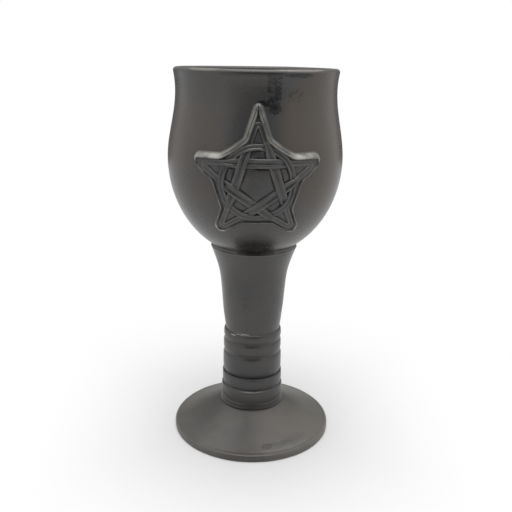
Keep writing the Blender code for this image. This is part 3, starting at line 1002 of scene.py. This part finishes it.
# Heights, radii and places across the chalice over which its glaze, its painted light and its
# painted shade change
INSIDE_RADII = (0.0343, 0.0352)
INSIDE_HEIGHTS = (0.150, 0.156)
# Heights over which the inside of the bowl is painted lighter
INSIDE_LIGHT_HEIGHTS = (0.160, 0.176)
LIP_HEIGHTS = (0.1764, 0.1774)
STEM_BASE_HEIGHTS = (0.0162, 0.0178)
BEAD_HEIGHTS = (0.0951, 0.0956)
GROOVE_HEIGHTS = (0.0415, 0.0481)
GROOVE_SHADE_HALF = 0.0009
# Places across the foot over which it is painted lighter, at the right and at the left
RIGHT_PAINTED_LIGHT = (0.004, 0.030)
LEFT_PAINTED_LIGHT = (-0.038, -0.008)
SOLE_HEIGHTS = (0.0002, 0.0006)
STAR_PATCH_SCALE = 170.0
STAR_PATCH_RANGE = (0.36, 0.6)


def bowl_glaze():
    """The bowl's glaze, with black runs right of the star under the lip, painted shade under the
    lip, a painted dark reflection above the seam, and painted light on the lip and inside.
    """
    glaze = Glaze("bowl_satin_glaze", line_pitch=0.0016, cloud_size=0.045, satin=0.24)
    clean = glaze.colour
    # Middle, reach, raggedness, brokenness, weight and colour of each blot: the warm sides, the
    # runs from the lip down, painted shade under the lip, and a painted dark reflection of the stem
    # on the bowl above the seam
    blots = (
        (spot(27.0, -22.0, 150.0), spot(24.0, 30.0, 34.0), 0.4, 0.0, 0.75, GLAZE_BROWN),
        (spot(-28.0, -22.0, 142.0), spot(22.0, 28.0, 26.0), 0.4, 0.0, 0.5, GLAZE_BROWN),
        (spot(17.0, -33.4, 175.6), spot(8.4, 5.0, 1.0), 1.8, 0.15, 1.0, BLACK_GLAZE_AND_SHADE),
        (spot(6.6, -36.7, 175.4), spot(3.6, 4.0, 1.5), 2.0, 0.6, 0.9, BLACK_GLAZE_AND_SHADE),
        (spot(6.6, -36.4, 171.8), spot(3.4, 4.0, 4.4), 1.8, 0.75, 0.9, BLACK_GLAZE_AND_SHADE),
        (spot(7.8, -36.0, 168.2), spot(1.8, 4.0, 2.8), 1.6, 0.3, 0.95, BLACK_GLAZE_AND_SHADE),
        (spot(6.2, -36.2, 165.8), spot(2.8, 4.0, 2.2), 2.0, 0.6, 0.9, BLACK_GLAZE_AND_SHADE),
        (spot(6.8, -36.3, 162.5), spot(3.0, 4.0, 2.4), 1.8, 0.35, 1.0, BLACK_GLAZE_AND_SHADE),
        (spot(2.2, -36.8, 164.7), spot(3.3, 4.0, 1.2), 1.8, 0.4, 0.9, BLACK_GLAZE_AND_SHADE),
        (spot(15.0, -33.6, 167.9), spot(4.2, 4.0, 3.0), 2.8, 0.9, 0.6, BLACK_GLAZE_AND_SHADE),
        (spot(-3.0, -37.0, 176.0), spot(18.0, 7.0, 1.1), 0.3, 0.0, 0.35, BLACK_GLAZE_AND_SHADE),
        (spot(0.4, -25.0, 101.0), spot(11.5, 14.0, 5.4), 0.6, 0.0, 0.4, BLACK_GLAZE_AND_SHADE),
        (spot(0.2, -24.0, 100.2), spot(10.0, 12.0, 4.2), 0.6, 0.0, 0.6, BLACK_GLAZE_AND_SHADE),
    )
    for blot in blots:
        glaze.blot(*blot)
    height = glaze.along("Z")
    level = vector_node(glaze.tree, "MULTIPLY", glaze.place, (1.0, 1.0, 0.0))
    inside = glaze.ramp(length_of(glaze.tree, level), *INSIDE_RADII, 1.0, 0.0)
    upper = glaze.ramp(height, *INSIDE_HEIGHTS)
    glaze.colour = blend(glaze.tree, glaze.product(inside, upper), glaze.colour, clean)
    # Painted light: the inside of the bowl near the lip is lightened.
    lightened = glaze.ramp(height, *INSIDE_LIGHT_HEIGHTS, 0.0, 0.3)
    glaze.cover(glaze.product(inside, lightened), GLAZE_WORN_AND_LIT, 0.4)
    glaze.cover(glaze.ramp(height, *LIP_HEIGHTS, 0.0, 0.9), GLAZE_THIN, 0.6)
    # Painted highlights on the lip, right and left of its middle.
    glaze.blot(spot(18.0, -31.0, 177.7), spot(15.0, 9.0, 0.9), 0.6, 0.2, 0.7, PALE_GLAZE_AND_HIGHLIGHT)
    glaze.blot(spot(-23.0, -28.5, 177.7), spot(9.0, 8.0, 0.9), 0.6, 0.2, 0.6, PALE_GLAZE_AND_HIGHLIGHT)
    return glaze.finish(0.12)


def stem_glaze():
    """The stem's glaze, with pale marks on the top band and a painted highlight along the seam's
    bead.
    """
    glaze = Glaze("stem_satin_glaze", line_pitch=0.0011, cloud_size=0.028, satin=0.28)
    # Middle, reach and weight of each pale mark along the band's edge
    pale_marks = (
        (spot(-9.7, -10.6, 52.4), spot(1.3, 2.4, 0.2), 0.9),
        (spot(-7.4, -12.2, 53.1), spot(2.8, 2.4, 0.11), 0.7),
        (spot(-4.0, -13.6, 53.5), spot(2.5, 2.4, 0.16), 0.95),
        (spot(-6.8, -12.6, 54.0), spot(3.2, 2.4, 0.1), 0.35),
    )
    for middle, reach, weight in pale_marks:
        glaze.blot(middle, reach, 0.7, 0.2, weight, PALE_MARK_AND_HIGHLIGHT)
    glaze.blot(spot(13.4, -15.0, 94.7), spot(3.5, 4.0, 0.5), 1.6, 0.5, 0.4, BLACK_GLAZE_AND_SHADE)
    glaze.blot(spot(-4.2, -14.9, 72.7), spot(1.6, 3.0, 1.2), 3.2, 0.6, 0.4, BLACK_GLAZE_AND_SHADE)
    glaze.blot(spot(-4.1, -14.6, 69.1), spot(1.4, 3.0, 1.2), 3.2, 0.6, 0.35, BLACK_GLAZE_AND_SHADE)
    height = glaze.along("Z")
    # Painted shade in the two highest grooves.
    for groove_height in GROOVE_HEIGHTS:
        above = math_node(glaze.tree, "SUBTRACT", height, groove_height)
        apart = math_node(glaze.tree, "ABSOLUTE", above, 0.0)
        glaze.cover(glaze.ramp(apart, 0.0, GROOVE_SHADE_HALF, 0.25, 0.0), BLACK_GLAZE_AND_SHADE, 0.34)
    glaze.cover(glaze.ramp(height, *STEM_BASE_HEIGHTS, 0.6, 0.0), BLACK_GLAZE_AND_SHADE, 0.4)
    # Painted highlight along the seam's bead.
    glaze.cover(glaze.ramp(height, *BEAD_HEIGHTS, 0.0, 0.4), PALE_GLAZE_AND_HIGHLIGHT, 0.3)
    return glaze.finish(0.2)


def foot_glaze():
    """The foot's glaze, painted lighter at the sides, with a faint smear and bare clay where it
    rests.
    """
    glaze = Glaze("foot_satin_glaze", line_pitch=0.0009, cloud_size=0.032, satin=0.36)
    glaze.cover(glaze.ramp(glaze.thin, 0.0, 1.0, 0.28, 0.78), GLAZE_WORN_AND_LIT, 0.45)
    across = glaze.along("X")
    # Painted light: the foot is lighter toward its right and left sides.
    glaze.cover(glaze.ramp(across, *RIGHT_PAINTED_LIGHT, 0.0, 0.32), PALE_GLAZE_AND_HIGHLIGHT, 0.45)
    glaze.cover(glaze.ramp(across, *LEFT_PAINTED_LIGHT, 0.2, 0.0), PALE_GLAZE_AND_HIGHLIGHT, 0.45)
    # Middle, reach and weight of each part of the smear
    smears = (
        (spot(7.0, -33.6, 5.05), spot(3.2, 2.2, 0.9), 0.4),
        (spot(13.5, -31.2, 5.15), spot(8.0, 4.6, 0.6), 0.22),
        (spot(20.0, -26.6, 5.5), spot(7.6, 7.0, 1.0), 0.18),
    )
    for middle, reach, weight in smears:
        glaze.blot(middle, reach, 2.0, 0.0, weight, BLACK_GLAZE_AND_SHADE)
    # Middle and reach of each part of the light streak along the edge
    streaks = (
        (spot(9.0, -35.5, 3.95), spot(6.4, 2.4, 0.4)),
        (spot(17.0, -32.4, 3.95), spot(7.0, 4.2, 0.36)),
        (spot(24.0, -27.8, 3.95), spot(5.0, 4.6, 0.32)),
    )
    for middle, reach in streaks:
        glaze.blot(middle, reach, 0.7, 0.3, 0.3, PALE_GLAZE_AND_HIGHLIGHT)
    glaze.cover(glaze.ramp(glaze.along("Z"), *SOLE_HEIGHTS, 1.0, 0.0), BARE_CLAY, 0.8)
    return glaze.finish(0.15)


def star_glaze():
    """The star's glaze, pale along the ridges with painted highlights on the border, and dark along
    the strips as pooled glaze and painted shade.
    """
    glaze = Glaze("star_satin_glaze", line_pitch=0.002, cloud_size=0.02, satin=0.24)
    tone = add(glaze.tree, "ShaderNodeAttribute", attribute_name="tone").outputs["Fac"]
    patches = noise(glaze.tree, glaze.place, STAR_PATCH_SCALE, 4.0)
    unevenness = glaze.ramp(patches, *STAR_PATCH_RANGE, 0.25, 1.0)
    # Pooled glaze and painted shade where the tone is below nought.
    pooled_and_shaded = glaze.ramp(tone, -1.0, 0.0, 0.75, 0.0)
    glaze.cover(glaze.product(pooled_and_shaded, unevenness), BLACK_GLAZE_AND_SHADE, 0.34)
    # Pale glaze on the ridges, and painted highlight on the border's upper runs, where the tone is
    # above nought.
    lightened = glaze.ramp(tone, 0.0, 1.0, 0.0, 1.0)
    glaze.cover(glaze.product(lightened, unevenness), PALE_GLAZE_AND_HIGHLIGHT, 0.28)
    # Painted highlight and painted reflection where the tone is highest: the border's upper runs in
    # the side arms, and its lower tips.
    painted_bright = glaze.ramp(tone, 0.9, 1.8, 0.0, 0.8)
    glaze.cover(glaze.product(painted_bright, unevenness), PALE_MARK_AND_HIGHLIGHT, 0.3)
    return glaze.finish(0.1)


def joint_slip():
    """Slip in the joints, with a painted dark reflection under the bowl's front and dark strokes
    along its lower edge.
    """
    glaze = Glaze("joint_dry_slip", line_pitch=0.002, cloud_size=0.01, satin=0.26)
    glaze.cover(glaze.ramp(glaze.lines, 0.2, 0.8, 0.6, 1.0), GLAZE_WORN_AND_LIT, 0.34)
    # Painted dark reflection of the stem under the bowl's front.
    glaze.blot(spot(0.4, -20.5, 96.6), spot(10.5, 6.0, 3.0), 0.6, 0.0, 0.8, BLACK_GLAZE_AND_SHADE)
    glaze.blot(spot(-13.0, -15.8, 95.95), spot(4.6, 4.6, 0.3), 1.0, 0.3, 0.85, BLACK_GLAZE_AND_SHADE)
    glaze.blot(spot(12.6, -16.1, 95.95), spot(3.4, 3.4, 0.35), 1.4, 0.4, 0.75, BLACK_GLAZE_AND_SHADE)
    return glaze.finish(0.2)


bowl_finish = bowl_glaze()
stem_finish = stem_glaze()
foot_finish = foot_glaze()
star_finish = star_glaze()
slip_finish = joint_slip()

# Pieces
bowl = spin_up("thrown_bowl", bowl_outline(), closed=False)
hand_wobble(bowl, *BOWL_PRESSES)
settle(bowl, "bowl", bowl_finish)

stem = spin_up("banded_stem", stem_outline(), closed=True)
hand_wobble(stem, *STEM_PRESSES)
settle(stem, "stem", stem_finish)

foot = spin_up("spread_foot", foot_outline(), closed=True)
hand_wobble(foot, *FOOT_PRESSES)
settle(foot, "foot", foot_finish)

bowl_slip = spin_up("bowl_joint_slip", BOWL_SLIP, closed=True)
settle(bowl_slip, "bowl_slip", slip_finish)

foot_slip = spin_up("foot_joint_slip", FOOT_SLIP, closed=True)
settle(foot_slip, "foot_slip", slip_finish)

star_strand = lay_strip("endless_strand", strand_stations(), strand_row, closed=True)
soften(star_strand)
settle(star_strand, "star_strand", star_finish)

star_ring = lay_strip("woven_ring", ring_stations(), strand_row, closed=True)
soften(star_ring)
settle(star_ring, "star_ring", star_finish)

star_border = lay_strip("raised_border", border_stations(), border_row, closed=False)
close_rims(star_border)
settle(star_border, "star_border", star_finish)

# Floor, light and camera
FLOOR_RADIUS = 4.0
FLOOR_SIDES = 64
FLOOR_PALE = (0.9, 0.9, 0.9, 1.0)
FLOOR_FADE = (0.05, 0.26)
MATT = 0.9
WHITE = (1.0, 1.0, 1.0, 1.0)
ROOM_LEVEL = 0.5
SOFTBOX_PLACE = (0.0, -0.05, 0.85)
SOFTBOX_AIM = (0.0, -0.05, 0.1)
SOFTBOX_WIDTH = 0.6
SOFTBOX_DEPTH = 0.9
SOFTBOX_POWER = 7.0
CARD_DARK = (0.03, 0.03, 0.03, 1.0)
CARD_GREY = (0.25, 0.25, 0.25, 1.0)
LENS = 47.51
SENSOR_WIDTH = 36.0
CAMERA_PLACE = (0.00113, -0.3151, 0.1838)
CAMERA_SWING = -0.03
CAMERA_DOWN = 16.66
CAMERA_ROLL = 0.95


def seen_white(tree):
    """Return 1 for the rays that show the background: camera, glossy and clear ones."""
    rays = add(tree, "ShaderNodeLightPath").outputs
    shown = math_node(tree, "ADD", rays["Is Camera Ray"], rays["Is Glossy Ray"])
    return math_node(tree, "ADD", shown, rays["Is Transmission Ray"], clamp=True)


def matt_material(name, colour):
    """Return a matt material with its tree and shader."""
    material = bpy.data.materials.new(name)
    material.use_nodes = True
    shader = material.node_tree.nodes["Principled BSDF"]
    shader.inputs["Base Color"].default_value = colour
    shader.inputs["Roughness"].default_value = MATT
    return material, material.node_tree, shader


def lay_floor():
    """Lay a pale floor that keeps the chalice's shadow and fades to white farther out."""
    bpy.ops.object.select_all(action="DESELECT")
    bpy.ops.mesh.primitive_circle_add(
        vertices=FLOOR_SIDES, radius=FLOOR_RADIUS, fill_type="NGON"
    )
    floor = bpy.context.object
    floor.name = "pale_floor"
    material, tree, shader = matt_material("pale_floor", FLOOR_PALE)
    shader.inputs["Specular IOR Level"].default_value = 0.0
    glow = add(tree, "ShaderNodeEmission")
    far = length_of(tree, add(tree, "ShaderNodeTexCoord").outputs["Object"])
    fade = ramp(tree, far, *FLOOR_FADE)
    share = math_node(tree, "MULTIPLY", fade, seen_white(tree))
    mix = add(tree, "ShaderNodeMixShader")
    feed(tree, mix.inputs[0], share)
    feed(tree, mix.inputs[1], shader.outputs[0])
    feed(tree, mix.inputs[2], glow.outputs[0])
    feed(tree, tree.nodes["Material Output"].inputs["Surface"], mix.outputs[0])
    floor.data.materials.append(material)


def light_room():
    """Make the room white, and hang a soft lamp over the chalice."""
    world = bpy.data.worlds.new("white_room")
    bpy.context.scene.world = world
    world.use_nodes = True
    background = world.node_tree.nodes["Background"]
    background.inputs["Color"].default_value = WHITE
    level = ramp(world.node_tree, seen_white(world.node_tree), 0.0, 1.0, ROOM_LEVEL, 1.0)
    feed(world.node_tree, background.inputs["Strength"], level)
    bpy.ops.object.light_add(type="AREA", location=SOFTBOX_PLACE)
    lamp = bpy.context.object
    lamp.name = "overhead_softbox"
    lamp.data.shape = "RECTANGLE"
    lamp.data.size = SOFTBOX_WIDTH
    lamp.data.size_y = SOFTBOX_DEPTH
    lamp.data.energy = SOFTBOX_POWER
    look = Vector(SOFTBOX_AIM) - Vector(SOFTBOX_PLACE)
    lamp.rotation_euler = look.to_track_quat("-Z", "Y").to_euler()


def stand_card(name, place, size, colour, solid_half):
    """Stand a card with fading edges before or behind the chalice, out of the camera's sight."""
    bpy.ops.object.select_all(action="DESELECT")
    bpy.ops.mesh.primitive_plane_add(size=size, location=place, rotation=(math.pi / 2.0, 0.0, 0.0))
    card = bpy.context.object
    card.name = name
    card.visible_camera = False
    material, tree, shader = matt_material(name, colour)
    apart = add(tree, "ShaderNodeSeparateXYZ")
    feed(tree, apart.inputs[0], add(tree, "ShaderNodeTexCoord").outputs["Object"])
    aside = math_node(tree, "ABSOLUTE", apart.outputs["X"], 0.0)
    aloft = math_node(tree, "ABSOLUTE", apart.outputs["Y"], 0.0)
    side_fade = ramp(tree, aside, solid_half, size / 2.0, 1.0, 0.0)
    top_fade = ramp(tree, aloft, size / 4.0, size / 2.0, 1.0, 0.0)
    feed(tree, shader.inputs["Alpha"], math_node(tree, "MULTIPLY", side_fade, top_fade))
    card.data.materials.append(material)


def set_camera():
    """Set the camera where the photo was taken from, close by and looking down a little."""
    camera_data = bpy.data.cameras.new("photo_camera")
    camera_data.lens = LENS
    camera_data.sensor_width = SENSOR_WIDTH
    camera = bpy.data.objects.new("photo_camera", camera_data)
    bpy.context.scene.collection.objects.link(camera)
    swing = Matrix.Rotation(CAMERA_SWING, 4, "Z")
    tilt = Matrix.Rotation(math.radians(90.0 - CAMERA_DOWN), 4, "X")
    roll = Matrix.Rotation(math.radians(CAMERA_ROLL), 4, "Z")
    camera.matrix_world = swing @ Matrix.Translation(CAMERA_PLACE) @ tilt @ roll
    bpy.context.scene.camera = camera


lay_floor()
light_room()
stand_card("front_card", (0.0, -0.75, 0.45), size=1.6, colour=CARD_DARK, solid_half=0.15)
stand_card("back_card", (0.0, 0.75, 0.3), size=2.2, colour=CARD_GREY, solid_half=0.5)
set_camera()

bpy.context.scene.view_settings.view_transform = "Standard"
